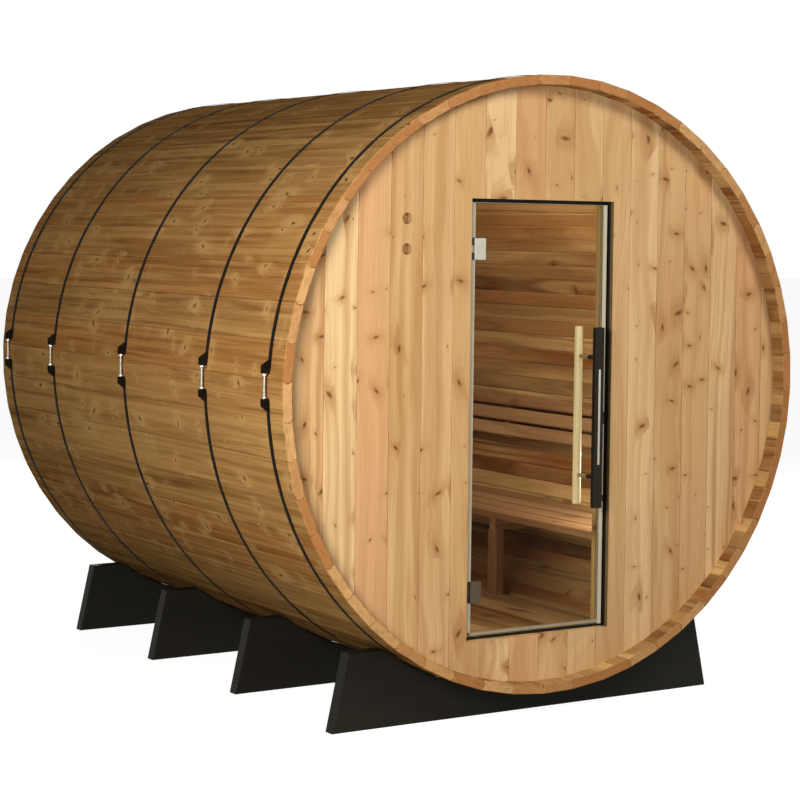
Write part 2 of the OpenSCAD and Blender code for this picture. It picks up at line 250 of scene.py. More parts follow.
ring_low, ring_high = span("rear_wall")
axis_z = (ring_low[2] + ring_high[2]) / 2
staves_box = [span(f"staves_{i:02d}") for i in range(1, 14)]
barrel_r = max(high[0] for low, high in staves_box)
front_y = min(low[1] for low, high in staves_box)
cradle_top_half_w = 0.737
cradle_ease = 0.003
cradle_fit = 0.0005
seat_r = barrel_r + cradle_fit
stain = black_stain()
for i in range(1, 5):
    low, high = span(f"cradle_{i}")
    turn = math.acos((axis_z - high[2]) / seat_r)
    bend = np.linspace(turn, -turn, 49)
    curve = np.stack([seat_r * np.sin(bend), axis_z - seat_r * np.cos(bend)], 1)
    ends = [(-cradle_top_half_w, high[2]), (low[0], 0.0), (high[0], 0.0),
            (cradle_top_half_w, high[2])]
    cradle = Stock()
    cradle.add(prism(np.concatenate([ends, curve]), eased(low[1], high[1], cradle_ease)))
    cradle.make(f"cradle_plank_{i}", "cabin", stain, replaces=[f"cradle_{i}"],
                slot="cradle_black")

# Staves: fifty-two cedar boards make the barrel. One edge of each is a bead and the other
# a cove, so that they lock as the bands draw them tight, and a groove near each end holds
# the end walls. The faces are flat, and the bare wood has weathered outside.

# A board's contrast also says how pink it is: the fraction of its contrast times this.
blush_steps = 17


def knots(s, across, along, share):
    """Knots, one at most in each cell of a jittered grid. Each is drawn out in a direction of
    its own. Returns how deep a point lies in one, from 0 to 1, how far it pulls the rings
    aside in metres, and how near its middle the point is."""
    cell = (0.06, 0.17, 1)
    flat = s.node("CombineXYZ", {0: across, 1: along})
    place = s.vector("DIVIDE", flat, cell)
    grid = {"Vector": place, "Scale": 1.0, "Randomness": 0.9}
    spot = s.node("TexVoronoi", grid, "Position", voronoi_dimensions="2D")
    luck = s.node("TexVoronoi", grid, "Color", voronoi_dimensions="2D")
    size, chance, lean = s.parts(luck)
    away = s.vector("MULTIPLY", s.vector("SUBTRACT", place, spot), cell)
    turned = {"Vector": away, "Angle": s.math("MULTIPLY_ADD", lean, 3.6, -1.8)}
    away = s.node("VectorRotate", turned, rotation_type="Z_AXIS")
    away = s.vector("MULTIPLY", away, (1.45, 0.62, 0))
    ragged = s.noise(s.vector("MULTIPLY", flat, (95, 70, 1)), 2)
    distance = s.math("MULTIPLY", s.vector("LENGTH", away), s.math("ADD", ragged, 0.5))
    radius = s.math("MULTIPLY_ADD", s.math("POWER", size, 2.0), 0.0125, 0.0028)
    there = s.math("LESS_THAN", chance, share)
    near = s.math("DIVIDE", distance, radius)
    depth = s.math("MULTIPLY", s.step(near, 1.35, 0.55), there)
    pull = s.math("EXPONENT", s.math("MULTIPLY", near, -0.42))
    pull = s.math("MULTIPLY", s.math("MULTIPLY", pull, there), radius)
    return depth, pull, s.step(near, 0.8, 0.2)


def cedar(name, pale, deep, blush, streak, knot, share=0.5, halo=None, lined=0.38, worn=0.0,
          rough=0.55, lengths=0.0, shine=0.12):
    """Cedar along the grain. Broad soft stripes follow the log's rings, which lie about its
    heart off to one side of the board and bend round the knots, and fine lines and fibres lie
    over them. grain is the place in the board, and tone its own tint, knots and contrast.
    share is how many knots there are, halo the colour round them, and lined how strong the
    fine lines are. worn is how far weather has paled and darkened it in streaks. A board of
    joined lengths changes its tint where one ends."""
    s = Shader(name)
    grain = s.node("Attribute", {}, "Vector", attribute_name="grain")
    tone = s.node("Attribute", {}, "Vector", attribute_name="tone")
    across, along, _ = s.parts(grain)
    tint, knotty, contrast = s.parts(tone)
    pink = s.math("FRACT", s.math("MULTIPLY", contrast, blush_steps))
    if lengths:
        piece = s.math("FLOOR", s.math("DIVIDE", along, lengths))
        piece = s.node("CombineXYZ", {0: piece, 1: s.math("MULTIPLY", tint, 99)})
        other = s.node("TexWhiteNoise", {"Vector": piece}, "Value", noise_dimensions="2D")
        tint = s.blend(0.55, s.node("CombineXYZ", {0: tint}), s.node("CombineXYZ", {0: other}))
        tint = s.node("SeparateXYZ", {0: tint}, 0)
    depth, pull, core = knots(s, across, along, s.math("MULTIPLY", knotty, 2 * share))
    sway = s.noise(s.vector("MULTIPLY", grain, (3, 0.9, 3)), 2, colour=True)
    sway = s.vector("MULTIPLY", s.vector("SUBTRACT", sway, (0.5,) * 3), (0.05, 0, 0.09))
    bent = s.vector("MULTIPLY", s.vector("ADD", grain, sway), (1, 0, 1))
    heart = s.math("SUBTRACT", s.vector("LENGTH", bent), s.math("MULTIPLY", pull, 1.6))
    late = s.math("POWER", s.math("FRACT", s.math("DIVIDE", heart, 0.0042)), 2.5)
    stripes = s.noise(s.node("CombineXYZ", {0: s.math("MULTIPLY", heart, 62),
                                            1: s.math("MULTIPLY", along, 0.35)}), 2.5)
    cloud = s.noise(s.vector("MULTIPLY", grain, (11, 1.5, 11)), 3)
    lines = s.noise(s.vector("MULTIPLY", grain, (190, 2.2, 190)), 3, roughness=0.6)
    fibre = s.noise(s.vector("MULTIPLY", grain, (1500, 26, 1500)), 2)
    colour = s.blend(tint, pale, deep)
    colour = s.blend(s.step(pink, 0.35, 0.95, 0, 0.8), colour, blush)
    colour = s.blend(s.step(cloud, 0.35, 0.7, 0, 0.5), colour, s.blend(tint, deep, pale))
    wave = s.math("MULTIPLY", s.step(stripes, 0.38, 0.72), s.math("ADD", contrast, 0.15))
    colour = s.blend(s.math("MULTIPLY", wave, 0.7), colour, streak)
    colour = s.blend(s.step(lines, 0.47, 0.8, 0, lined), colour, streak)
    colour = s.blend(s.math("MULTIPLY", late, 0.16), colour, streak)
    if worn:
        age = s.noise(s.vector("MULTIPLY", grain, (52, 1.2, 52)), 3, roughness=0.6)
        colour = s.blend(s.step(age, 0.46, 0.66, 0, worn), colour, pale)
        colour = s.blend(s.step(age, 0.46, 0.3, 0, worn), colour, streak)
    colour = s.blend(s.math("MINIMUM", s.math("MULTIPLY", pull, 120), 0.55), colour, halo or streak)
    colour = s.blend(s.step(fibre, 0.35, 0.9, 0, 0.25), colour, streak)
    heartwood = s.blend(s.math("MULTIPLY_ADD", core, 0.7, 0.3), halo or streak, knot)
    colour = s.blend(s.math("MULTIPLY", depth, 0.92), colour, heartwood)
    relief = s.math("ADD", s.math("MULTIPLY", fibre, 0.6), s.math("MULTIPLY", late, 0.4))
    s.finish(Base_Color=colour, Specular_IOR_Level=shine)
    s.finish(Roughness=s.step(lines, 0.3, 0.8, rough - 0.07, rough + 0.12))
    s.finish(Normal=s.bump(s.math("SUBTRACT", relief, depth), 0.0005, 0.4))
    return s


def end_grain(name, pale, deep, streak):
    """Cedar sawn across: the log's rings as arcs about its heart, faint clouds and saw marks."""
    s = Shader(name)
    grain = s.node("Attribute", {}, "Vector", attribute_name="grain")
    tone = s.node("Attribute", {}, "Vector", attribute_name="tone")
    tint, _, other = s.parts(tone)
    flat = s.vector("MULTIPLY", grain, (1, 0, 1))
    wobble = s.noise(s.vector("MULTIPLY", grain, (22, 0, 22)), 2)
    heart = s.math("ADD", s.vector("LENGTH", flat), s.math("MULTIPLY", wobble, 0.008))
    ring = s.math("POWER", s.math("FRACT", s.math("DIVIDE", heart, 0.0045)), 2.2)
    cloud = s.noise(s.vector("MULTIPLY", grain, (30, 0, 30)), 3)
    marks = s.noise(s.vector("MULTIPLY", grain, (2600, 0, 2600)), 2)
    colour = s.blend(s.step(s.math("ADD", tint, s.math("SUBTRACT", other, 0.5)), 0.1, 0.9),
                     pale, deep)
    colour = s.blend(s.math("MULTIPLY", s.step(cloud, 0.35, 0.75), 0.5), colour, streak)
    colour = s.blend(s.math("MULTIPLY", ring, 0.5), colour, streak)
    colour = s.blend(s.math("MULTIPLY", marks, 0.25), colour, streak)
    s.finish(Base_Color=colour, Roughness=s.step(marks, 0.2, 0.8, 0.6, 0.8))
    s.finish(Specular_IOR_Level=0.2, Normal=s.bump(s.math("ADD", ring, marks), 0.0004, 0.5))
    return s


stave_t = 0.035
stave_bulge = 0.0065
stave_gap = 0.0004
stave_ease = 0.0022
uneven_face, uneven_end = 0.0007, 0.001
inner_ease = (0.004, 0.003)
groove_w = 0.005
staves_n = 52
first_joint = math.radians(4.7)
half_angle = math.pi / staves_n
groove_depth = 0.012
wall_low, wall_high = span("front_wall_right")
groove_fit = 0.0003
chance = np.random.default_rng(52)


def log(draws=chance):
    """Where a board lay in its log: offsets that put the heart off to one side of it."""
    side = draws.uniform(-0.07, 0.07)
    return np.array([side, draws.uniform(0, 60), draws.choice([-1, 1]) * draws.uniform(0.03, 0.12)])


def tone(draws=chance):
    """A board's own tint, knots and contrast, each from 0 to 1."""
    return np.array([draws.beta(1.1, 1.1), draws.uniform(0.25, 0.75), draws.uniform(0.3, 1)])


def stave_section(inner, outer):
    """A stave's section, as (sideways, outwards) points: flat faces at two distances from
    the barrel's axis, and sides along the joints' radii that both bulge the same way by a
    half sine, so that each bead lies in its neighbour's cove. A groove divides the inner
    face, so that it looks like two narrow boards."""
    share = np.linspace(1, 0, 9)
    low = inner + inner_ease[1]
    up = low + (outer - stave_ease - low) * share
    bulge = stave_bulge * np.sin(np.pi * share)
    bead = up * math.tan(half_angle) - stave_gap / 2 + bulge
    cove = -up * math.tan(half_angle) + stave_gap / 2 + bulge
    return np.concatenate([
        [(cove[0] + stave_ease, outer), (bead[0] - stave_ease, outer)],
        np.stack([bead, up], 1),
        [(bead[-1] - inner_ease[0], inner), (groove_w / 2, inner), (0, inner + groove_w * 0.7),
         (-groove_w / 2, inner), (cove[-1] + inner_ease[0], inner)],
        np.stack([cove[::-1], up[::-1]], 1)])


def stave(stock, k):
    """Stave k, carried along the barrel. Its section steps out round both grooves for the end
    walls, and is drawn in at its two ends. Its outer face and the two halves of its inner
    face have tints and logs of their own."""
    outer = barrel_r * math.cos(half_angle) - chance.uniform(0, uneven_face)
    inner = (barrel_r - stave_t) * math.cos(half_angle)
    ends = front_y + chance.uniform(0, uneven_end), -front_y - chance.uniform(0, uneven_end)
    near = wall_low[1] - groove_fit
    far = wall_high[1] + groove_fit
    plain, cut = stave_section(inner, outer), stave_section(inner + groove_depth, outer)
    runs = [(ends[0], drawn_in(plain, stave_ease)), (ends[0] + stave_ease, plain),
            (near, plain), (near, cut), (far, cut), (far, plain),
            (-far, plain), (-far, cut), (-near, cut), (-near, plain),
            (ends[1] - stave_ease, plain), (ends[1], drawn_in(plain, stave_ease))]
    a = first_joint + (2 * k + 1) * half_angle
    aside = np.stack([section[:, 0] for y, section in runs])
    out = np.stack([section[:, 1] for y, section in runs])
    y = np.broadcast_to(np.array([y for y, section in runs])[:, None], aside.shape)
    loops = np.stack([out * math.cos(a) - aside * math.sin(a), y,
                      axis_z + out * math.sin(a) + aside * math.cos(a)], -1)
    # Of the section's 25 points, this says which belong to the outside (0) and to the two
    # halves of the inner face (1 and 2), and then which sides are the inner face's.
    part = np.array([0] * 7 + [1] * 7 + [2] * 6 + [0] * 5)
    logs = np.array([log() for i in range(3)])[part]
    tones = np.repeat(np.array([tone() for i in range(3)])[part][None], len(runs), 0)
    tones[[0, -1]] = tones[1, 0]
    inside = np.array([0] * 10 + [1] * 6 + [0] * 9)
    stock.add(loops, slot=inside, end_slot=2, tone=tones,
              grain=np.stack([aside, y, out - outer], -1) + logs)


weathered = cedar("weathered_cedar", srgb(200, 154, 92), srgb(150, 106, 54), srgb(178, 118, 62),
                  srgb(116, 74, 36), srgb(80, 48, 20), share=0.5, halo=srgb(206, 162, 100),
                  lined=0.5, worn=0.55, rough=0.65, lengths=0.74, shine=0.0)
inside_cedar = cedar("inside_cedar", srgb(234, 190, 122), srgb(94, 53, 17), srgb(146, 87, 39),
                     srgb(92, 50, 18), srgb(80, 44, 20), share=0.06, rough=0.6, shine=0.04)
sawn_ends = end_grain("sawn_stave_ends", srgb(214, 168, 108), srgb(176, 118, 64),
                      srgb(140, 88, 46))
for i in range(13):
    group = Stock()
    for k in range(4 * i, 4 * i + 4):
        stave(group, k)
    group.make(f"stave_boards_{i + 1:02d}", "cabin", weathered, inside_cedar, sawn_ends,
               replaces=[f"staves_{i + 1:02d}"], slot="stave_cedar")

# End walls: upright tongued and grooved cedar boards, planed and bare, stand in the staves'
# grooves. The front wall is sawn out for the doorway, and two round vents are bored in it.

wall_r = (ring_high[0] - ring_low[0]) / 2
board_w = 0.1235
board_gap = 0.0006
board_ease = 0.0017
first_edge = -0.018
narrowest_board = 0.002
rim_fit = 0.0005
over_low, over_high = span("front_wall_over_door")
door_left, door_right = over_low[0], over_high[0]
door_top, door_sill = over_low[2], span("front_wall_sill")[1][2]
vent_low, vent_high = span("vent_board")
vent_r = 0.019
vent_zs = (1.6104, 1.712)
vent_ease = 0.001
wall_chance = np.random.default_rng(7)
# Each front board's tint, from pale 0 to deep 1, and how pink it is, from left to right.
front_tints = [0.5, 0.4, 0.0, 0.4, 0.95, 0.55, 0.8, 0.0, 0.25, 0.8, 0.5, 0.5, 0.05, 0.8, 0.7, 0.0,
               0.5, 0.6]
front_blush = [0.2, 0.6, 0.1, 0.9, 0.3, 0.0, 0.2, 0.1, 0.9, 0.3, 0.1, 0.3, 0.0, 0.0, 0.5, 0.0,
               0.9, 0.1]


def reach(x):
    """How far the round wall runs above and below the barrel's axis at a place across it."""
    return np.sqrt(np.maximum(wall_r**2 - np.asarray(x) ** 2, 0))


def board_columns(x0, x1, eased_left=True, eased_right=True):
    """Places across a board, and how deep its edges are eased at each."""
    left, right = x0 + board_gap * eased_left, x1 - board_gap * eased_right
    middle = np.linspace(left + board_ease * eased_left, right - board_ease * eased_right, 9)
    ease = [board_ease * eased_left] + [0.0] * 9 + [board_ease * eased_right]
    return np.concatenate([[left], middle, [right]]), np.array(ease)


def wall_board(stock, x, ease, low, high, y0, y1, grain, tint):
    """A flat board from a low to a high line, both worked out at each place across it."""
    corners = [(y0 + ease, low), (y0 + ease, high), (y1 - ease, high), (y1 - ease, low)]
    loops = np.stack([np.stack([x, y, z], -1) for y, z in corners], 1)
    stock.add(loops, grain=loops[..., [0, 2, 1]] + grain, tone=tint)


def bored_board(stock, x, ease, z, y0, y1, grain, tint):
    """A length of board with a round hole: loops that run from the board's edges in to the
    hole, for each direction round it. Towards an angle t the edge lies at (cos t, sin t)
    over the larger of its two parts, and the hole at (cos t, sin t)."""
    turn = np.linspace(0, 2 * np.pi, 64, endpoint=False)
    way = np.stack([np.cos(turn), np.sin(turn)], 1)
    square = way / np.max(np.abs(way), 1)[:, None]
    mid, half_w = (x[0] + x[-1]) / 2, (x[-1] - x[0]) / 2
    half_h = (vent_zs[1] - vent_zs[0]) / 2
    at_edge = (np.abs(square[:, 0]) > 0.9999) * ease[0]
    edge = [(half_w, at_edge), (half_w - ease[0], 0 * at_edge)]
    rims = [(square * (w, half_h), y0 + deep) for w, deep in edge]
    bore = way * vent_r
    rims += [(bore + way * vent_ease, y0), (bore, y0 + vent_ease), (bore, y1 - vent_ease),
             (bore + way * vent_ease, y1)]
    rims += [(square * (w, half_h), y1 - deep) for w, deep in edge[::-1]]
    loops = np.zeros((len(turn), len(rims), 3))
    for j, (flat, y) in enumerate(rims):
        loops[:, j] = np.stack([mid + flat[:, 0], y + 0 * turn, z + flat[:, 1]], 1)
    stock.add(loops, ring=True, grain=loops[..., [0, 2, 1]] + grain, tone=tint)


def end_wall(y0, y1, front):
    """Every board of an end wall. The front wall's go to the stock of the CAD piece that they
    belong to: left of the doorway, the vent board, right of it, above it or below it."""
    stocks = {}

    def stock(name):
        return stocks.setdefault(name, Stock())

    first = math.ceil((-wall_r - first_edge) / board_w) - 1
    for k in range(first, first + len(front_tints)):
        x0 = max(first_edge + k * board_w, -wall_r + rim_fit)
        x1 = min(first_edge + (k + 1) * board_w, wall_r - rim_fit)
        if x1 - x0 < narrowest_board:
            continue
        grain, tint = log(wall_chance), tone(wall_chance)
        if front:
            tint[0] = front_tints[k - first]
            tint[2] = (math.floor(tint[2] * blush_steps) + front_blush[k - first]) / blush_steps
        cuts = [x0, *(c for c in (door_left, door_right) if x0 < c < x1), x1]
        for a, b in zip(cuts, cuts[1:]) if front else [(x0, x1)]:
            x, ease = board_columns(a, b, a == x0, b == x1)
            low, high = axis_z - reach(x), axis_z + reach(x)
            common = (y0, y1, grain, tint)
            centre = (a + b) / 2
            if not front:
                wall_board(stock("rear_wall"), x, ease, low, high, *common)
            elif door_left < centre < door_right:
                wall_board(stock("front_wall_over_door"), x, ease, door_top + 0 * x, high, *common)
                wall_board(stock("front_wall_sill"), x, ease, low, door_sill + 0 * x, *common)
            elif vent_low[0] < centre < vent_high[0]:
                half_h = (vent_zs[1] - vent_zs[0]) / 2
                bottom, top = vent_zs[0] - half_h, vent_zs[1] + half_h
                wall_board(stock("vent_board"), x, ease, low, bottom + 0 * x, *common)
                for z in vent_zs:
                    bored_board(stock("vent_board"), x, ease, z, *common)
                wall_board(stock("vent_board"), x, ease, top + 0 * x, high, *common)
            else:
                side = "front_wall_left" if centre < 0 else "front_wall_right"
                wall_board(stock(side), x, ease, low, high, *common)
    return stocks


planed = cedar("planed_cedar", srgb(228, 194, 142), srgb(190, 146, 94), srgb(210, 156, 110),
               srgb(164, 116, 66), srgb(96, 56, 28), share=0.55, rough=0.5)
walls = end_wall(wall_low[1], wall_high[1], True)
walls.update(end_wall(ring_low[1], ring_high[1], False))
for node, boards in walls.items():
    boards.make(f"{node}_boards", "cabin", planed, replaces=[node], slot="wall_cedar")

# Bands: five straps of dark coated steel hold the staves together. Each is two hoops, one
# over the barrel and one under it, which only lie on the wood and end at the tensioners.


def coated_steel():
    """Dark brown coating on a rolled strap, with faint lengthways scuffs."""
    s = Shader("dark_coated_strap")
    scuff = s.own_noise((14, 900, 14), 3)
    rub = s.own_noise((9, 9, 9), 4, 0.7)
    coat = s.blend(s.step(rub, 0.45, 0.75), srgb(24, 19, 13), srgb(38, 31, 21))
    s.finish(Base_Color=s.blend(s.step(scuff, 0.6, 0.9, 0, 0.3), coat, srgb(60, 50, 36)))
    s.finish(Specular_IOR_Level=0.03, Roughness=s.step(rub, 0.3, 0.8, 0.55, 0.7))
    s.finish(Normal=s.bump(scuff, 0.0001, 0.5))
    return s


tension_z = 0.022
band_reach = 0.05
strap_fit, strap_t, strap_round = 0.0001, 0.0015, 0.0005
strap_r = barrel_r + strap_fit
strap = coated_steel()
for i in range(1, 6):
    low, high = span(f"band_{i}")
    section = rounded([(strap_r, low[1]), (strap_r + strap_t, low[1]),
                       (strap_r + strap_t, high[1]), (strap_r, high[1])], strap_round, 2)
    hoops = Stock()
    lift, gap = math.asin(tension_z / barrel_r), math.asin(band_reach / barrel_r)
    for start, end in ((lift + gap, math.pi - lift - gap),
                       (math.pi - lift + gap, 2 * math.pi + lift - gap)):
        a = np.linspace(start, end, 181)[:, None]
        loops = np.stack([section[:, 0] * np.cos(a), section[:, 1] + 0 * a,
                          axis_z + section[:, 0] * np.sin(a)], -1)
        hoops.add(loops)
    hoops.make(f"strap_{i}", "cabin", strap, replaces=[f"band_{i}"], slot="band_steel")

# Tensioners: each band's ends are held by folded steel brackets on both sides of the barrel,
# and a bright threaded rod with two nuts draws them together.


def bright_steel():
    """Zinc-bright steel: drawn along, a little blotched."""
    s = Shader("bright_zinc_steel")
    blotch = s.own_noise((70, 70, 70), 3)
    brush = s.own_noise((2500, 2500, 60), 2)
    s.finish(Base_Color=s.blend(blotch, srgb(164, 161, 146), srgb(196, 193, 178)))
    s.finish(Metallic=0.9, Roughness=s.step(s.math("ADD", blotch, brush), 0.6, 1.4, 0.2, 0.38))
    s.finish(Normal=s.bump(brush, 0.00005, 0.4))
    return s


def lathe(stations, centre, sides=24, axis="z", flat=None):
    """A turned shape: loops of a circle about a line, one for each (place, radius). flat
    makes the circle a polygon of that many sides: the radius is shortened by the cosine of
    half a side's angle over the cosine of the angle from the side's middle."""
    turn = np.linspace(0, 2 * np.pi, sides, endpoint=False)
    place, radius = np.array(stations, float).T
    shape = np.ones(sides)
    if flat:
        part = np.pi / flat
        shape = math.cos(part) / np.cos((turn + part) % (2 * part) - part)
    loops = np.zeros((len(place), sides, 3))
    order = {"z": (0, 1, 2), "y": (2, 0, 1), "x": (1, 2, 0)}[axis]
    loops[..., order[0]] = radius[:, None] * shape * np.cos(turn)
    loops[..., order[1]] = radius[:, None] * shape * np.sin(turn)
    loops[..., order[2]] = place[:, None]
    return loops + np.array(centre)


def tensioner(stock, side, y, low_z, high_z, half_w, out):
    """One side's set: two brackets, each a channel of folded strap on the barrel's curve with
    an ear at its inner end, the rod with its thread as a saw wave of the radius along it, and
    a nut and washer on each ear."""
    bracket, bracket_fit, slope, corner = 0.042, 0.0018, 0.018, 0.003
    sheet, sheet_ease = 0.0025, 0.0006
    rod_r, rod_end, rod_inset, pitch, thread = 0.0036, 0.009, 0.0092, 0.00125, 0.0004
    washer_r, washer_t = 0.0088, 0.0015
    nut_r, nut_h, nut_ease = 0.007, 0.006, 0.0007
    rod_x = side * (out - rod_inset)
    for end, way in ((low_z, 1), (high_z, -1)):
        inner = end + way * bracket
        z = np.linspace(end, inner, 12)
        x = np.sqrt((barrel_r + bracket_fit) ** 2 - (z - axis_z) ** 2)
        back = np.concatenate([np.stack([x, z], 1), np.stack([x + sheet, z], 1)[::-1]])
        ear = [(x[-1] + sheet, inner - way * sheet), (out, inner - way * sheet),
               (out, inner), (x[-1] + sheet, inner)]
        for fold in (back, np.array(ear)):
            stock.add(prism(fold * (side, 1), eased(y - half_w, y + half_w, sheet_ease)))
        cheek = [(x[0] + sheet, end + way * 0.001), (out - corner, end + way * (slope - corner)),
                 (out, end + way * slope), (out, inner - way * sheet),
                 (x[-1] + sheet, inner - way * sheet)]
        for edge in (y - half_w, y + half_w - sheet):
            stock.add(prism(np.array(cheek) * (side, 1), eased(edge, edge + sheet, 0.0005)))
        z = inner + way * washer_t
        washer = [(inner, washer_r), (z, washer_r)]
        stock.add(lathe(washer, (rod_x, y, 0), 24), slot=1)
        nut = [(z, nut_r - 0.0006), (z + way * nut_ease, nut_r),
               (z + way * (nut_h - nut_ease), nut_r), (z + way * nut_h, nut_r - 0.0008)]
        stock.add(lathe(nut, (rod_x, y, 0), 36, flat=6), slot=1)
    z = np.arange(low_z + bracket - rod_end, high_z - bracket + rod_end, 0.0005)
    radius = rod_r + thread * np.abs((z / pitch) % 1 * 2 - 1)
    stock.add(lathe(np.stack([z, radius], 1), (rod_x, y, 0), 16), slot=1)


bright = bright_steel()
for i in range(1, 6):
    low, high = span(f"tensioner_{i}")
    pair = Stock()
    for side in (-1, 1):
        tensioner(pair, side, (low[1] + high[1]) / 2, low[2], high[2], (high[1] - low[1]) / 2,
                  high[0])
    pair.make(f"tension_set_{i}", "cabin", strap, bright, replaces=[f"tensioner_{i}"],
              slot="bright_steel")

# Floor: eight planed cedar boards run the cabin's length. They are screwed down on four
# cedar bearers that are cut to the barrel's curve and lie across it.


def bar(low, high, round_over, ease, along, steps):
    """A bar that fills the box between two corners, with its long edges rounded over and its
    ends eased: its loops, and the numbers of its section's two axes and its long one."""
    axes = {"x": "yzx", "y": "xzy", "z": "xyz"}[along]
    a, b, c = ("xyz".index(letter) for letter in axes)
    corners = [(low[a], low[b]), (high[a], low[b]), (high[a], high[b]), (low[a], high[b])]
    section = rounded(corners, round_over, steps)
    return prism(section, eased(low[c], high[c], ease), axes), (a, b, c)


def plank(stock, box, draws, round_over=0.003, along="y"):
    """A planed board that fills a box and has a log of its own."""
    low, high = box
    loops, (a, b, c) = bar(low, high, round_over, board_end, along, 3)
    wide, thick = (a, b) if high[a] - low[a] > high[b] - low[b] else (b, a)
    centre = (low + high) / 2
    stock.add(loops, grain=(loops - centre)[..., [wide, c, thick]] + log(draws), tone=tone(draws))


inner_r = barrel_r - stave_t
curve_fit = 0.0005
seated_r = inner_r - curve_fit
board_end = 0.001
inside_chance = np.random.default_rng(19)
floor_low, floor_high = span("floor_boards")
floor_n, floor_gap = 8, 0.005
floor_w = (floor_high[0] - floor_low[0] + floor_gap) / floor_n
bearer_low, bearer_high = span("floor_bearers")
bearer_t = 0.04
bearers = Stock()
x = np.linspace(bearer_low[0], bearer_high[0], 41)
curve = np.stack([x, axis_z - np.sqrt(seated_r**2 - x**2)], 1)
bearer = np.concatenate([curve, [(x[-1], bearer_high[2]), (x[0], bearer_high[2])]])
for y in np.linspace(bearer_low[1], bearer_high[1] - bearer_t, 4):
    loops = prism(bearer, eased(y, y + bearer_t, board_end))
    bearers.add(loops, grain=loops[..., [2, 0, 1]] + log(inside_chance), tone=tone(inside_chance))
bearers.make("floor_bearer_planks", "cabin", inside_cedar, replaces=["floor_bearers"],
             slot="inside_cedar")
floor = Stock()
for i in range(floor_n):
    x = floor_low[0] + i * floor_w
    plank(floor, (np.array([x, floor_low[1], floor_low[2]]),
                  np.array([x + floor_w - floor_gap, floor_high[1], floor_high[2]])), inside_chance)
floor.make("floor_planks", "cabin", inside_cedar, replaces=["floor_boards"], slot="inside_cedar")

# Bench: four cedar slats with softened edges run the cabin's length along the right-hand
# side. They are screwed to three bearers, and each bearer stands on a leg of its own.

seat_low, seat_high = span("bench_slats")
frame_left = span("bench_frame")[0][0]
seat_n, seat_gap, seat_round = 4, 0.014, 0.0025
seat_w = (seat_high[0] - seat_low[0] + seat_gap) / seat_n
seat = Stock()
for i in range(seat_n):
    x = seat_low[0] + i * seat_w
    plank(seat, (np.array([x, *seat_low[1:]]),
                 np.array([x + seat_w - seat_gap, *seat_high[1:]])), inside_chance, seat_round)
bench_cedar = cedar("bench_cedar", srgb(204, 162, 112), srgb(130, 88, 50), srgb(142, 97, 58),
                    srgb(106, 66, 36), srgb(76, 44, 22), share=0.06, rough=0.42, shine=0.3)
seat.make("bench_slat_planks", "cabin", bench_cedar, replaces=["bench_slats"],
          slot="inside_cedar")
leg_t, leg_w, leg_round = 0.038, 0.062, 0.004
bearer_h, bearer_ease = 0.045, 0.002
first_leg, leg_pitch = 0.3, 0.7
under = Stock()
for i in range(3):
    y = front_y + first_leg + i * leg_pitch
    z = seat_low[2] - bearer_h
    back = math.sqrt(seated_r**2 - (axis_z - z) ** 2)
    top = math.sqrt(seated_r**2 - (axis_z - seat_low[2]) ** 2)
    profile = [(frame_left, z), (back, z), (top, seat_low[2]), (frame_left, seat_low[2])]
    loops = prism(profile, eased(y - bearer_t / 2, y + bearer_t / 2, bearer_ease))
    under.add(loops, grain=loops[..., [2, 0, 1]] + log(inside_chance), tone=tone(inside_chance))
    plank(under, (np.array([frame_left, y - leg_w / 2, floor_high[2]]),
                  np.array([frame_left + leg_t, y + leg_w / 2, z])), inside_chance, leg_round,
          "z")
under.make("bench_frame_planks", "cabin", bench_cedar, replaces=["bench_frame"],
           slot="inside_cedar")

# Backrest: three cedar slats run along the right-hand wall above the bench, tilted back.
# They are screwed to three short battens that are cut to the wall's curve and fixed to it.

back_angle = math.radians(15.6)
slat_w, slat_t, slat_gap, slat_round = 0.056, 0.02, 0.01, 0.009
batten_w, batten_t = 0.04, 0.038
face = inner_r - batten_t
rise = 1.5 * slat_w + slat_gap
tilt = np.array([[math.cos(back_angle), 0, math.sin(back_angle)], [0, 1, 0],
                 [-math.sin(back_angle), 0, math.cos(back_angle)]])
rest = Stock()
for i in range(3):
    z = -rise + i * (slat_w + slat_gap)
    plank(rest, (np.array([face - slat_t, floor_low[1], z]),
                 np.array([face, -wall_high[1], z + slat_w])), inside_chance, slat_round)
for i in range(3):
    y = front_y + first_leg + i * leg_pitch
    z = np.linspace(-rise, rise, 9)
    curve = np.stack([np.sqrt(seated_r**2 - z**2), z], 1)
    profile = np.concatenate([curve, [(face, rise), (face, -rise)]])
    loops = prism(profile, eased(y - batten_w / 2, y + batten_w / 2, board_end))
    rest.add(loops, grain=loops[..., [1, 2, 0]] + log(inside_chance), tone=tone(inside_chance))
rest.points = [points @ tilt.T + (0, 0, axis_z) for points in rest.points]
rest.make("backrest_slat_planks", "cabin", bench_cedar, replaces=["backrest"],
          slot="inside_cedar")

# Door casing: four cedar boards round the doorway, screwed to the wall's inner face. The
# latch, head and sill boards lap behind the glass.

casing_low, casing_high = span("door_casing")
casing_w, casing_round, casing_fit = 0.07, 0.003, 0.0003
latch_lap = 0.036
casing = Stock()
latch = door_right - latch_lap
y0, y1 = casing_low[1], casing_high[1]
for x0, x1 in ((door_left - casing_w, door_left), (latch, latch + casing_w)):
    plank(casing, (np.array([x0, y0, casing_low[2]]), np.array([x1, y1, casing_high[2]])),
          inside_chance, casing_round, "z")
for z in (casing_low[2], casing_high[2] - casing_w):
    plank(casing, (np.array([door_left + casing_fit, y0, z]),
                   np.array([latch - casing_fit, y1, z + casing_w])), inside_chance,
          casing_round, "x")
casing.make("door_casing_planks", "cabin", inside_cedar, replaces=["door_casing"],
            slot="inside_cedar")

